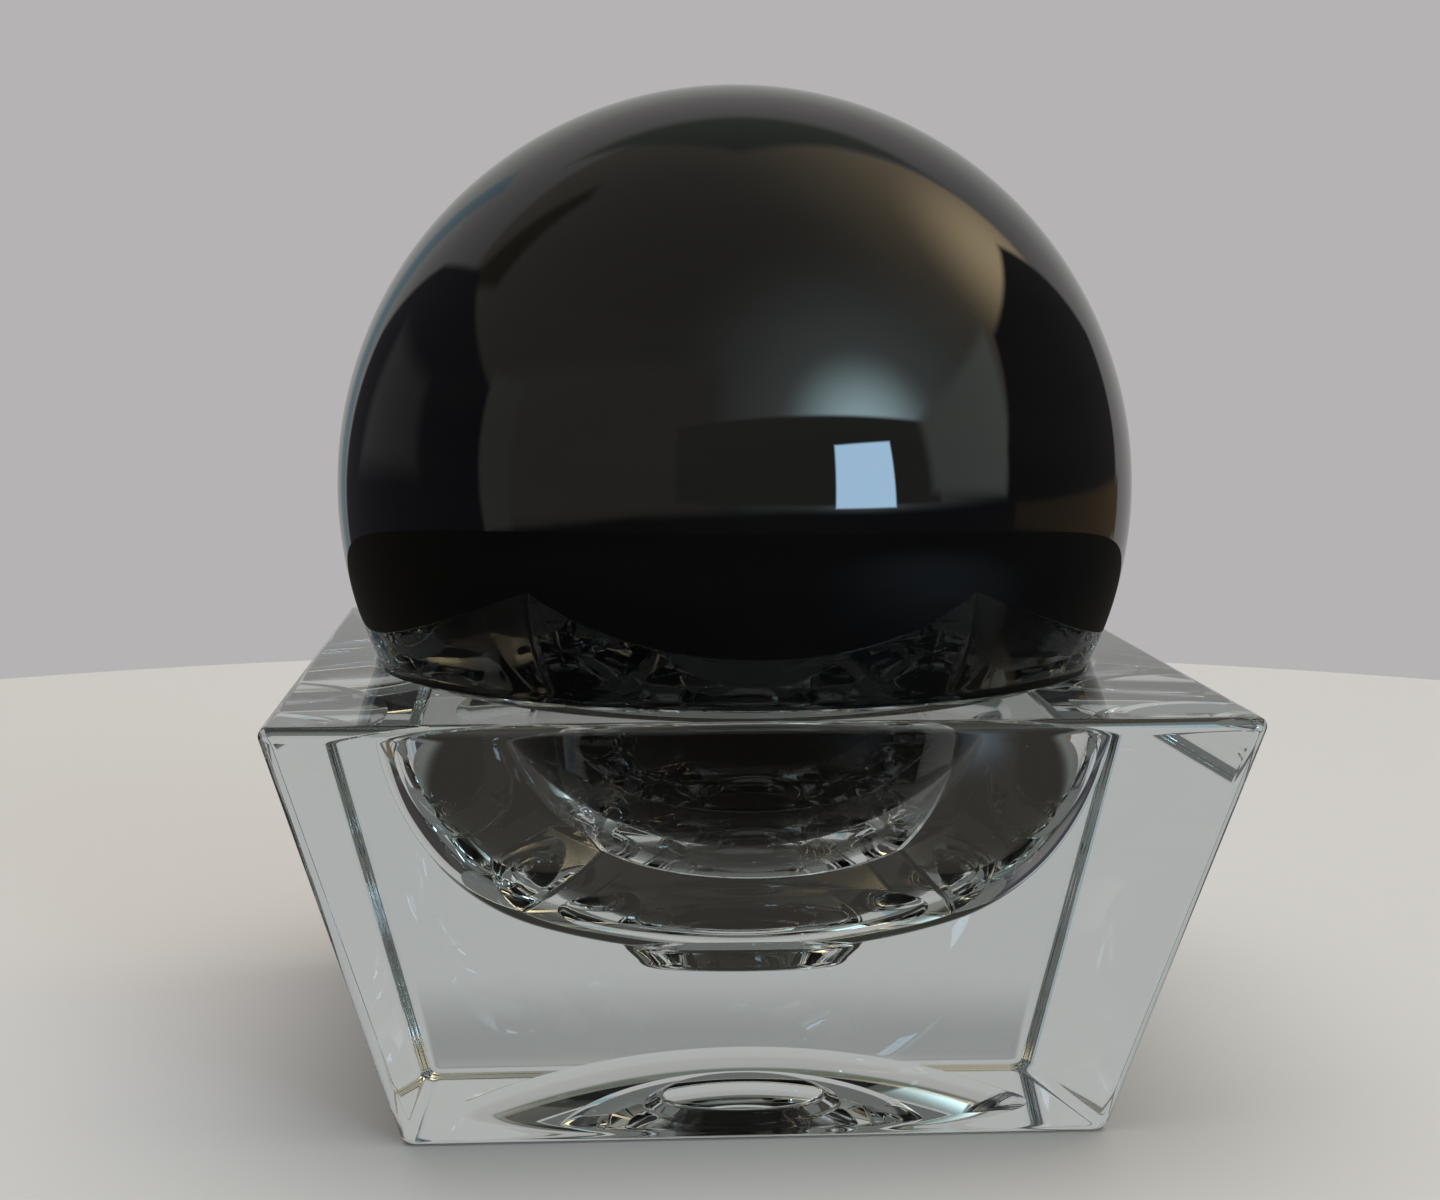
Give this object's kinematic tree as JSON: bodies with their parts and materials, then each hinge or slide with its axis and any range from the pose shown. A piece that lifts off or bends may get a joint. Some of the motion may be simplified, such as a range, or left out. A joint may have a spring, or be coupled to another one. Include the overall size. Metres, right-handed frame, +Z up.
{
  "type": "obsidian sphere on glass stand",
  "caption": "Polished black obsidian sphere resting in the round bowl of a clear glass stand shaped as an upturned square pyramid.",
  "frame": {"origin": "centre of the stand's square foot, on the surface that it stands on", "axes": "+Z up, along the axis of the sphere and the bowl; front face of the stand towards -Y; +X to the right seen from the front"},
  "size_m": [0.054, 0.054, 0.061],
  "materials": {
    "obsidian": "mirror-polished black volcanic glass",
    "clear_glass": "clear polished pressed glass"
  },
  "bodies": {
    "root": {"obsidian_sphere": "obsidian", "glass_stand": "clear_glass"}
  },
  "joints": []
}
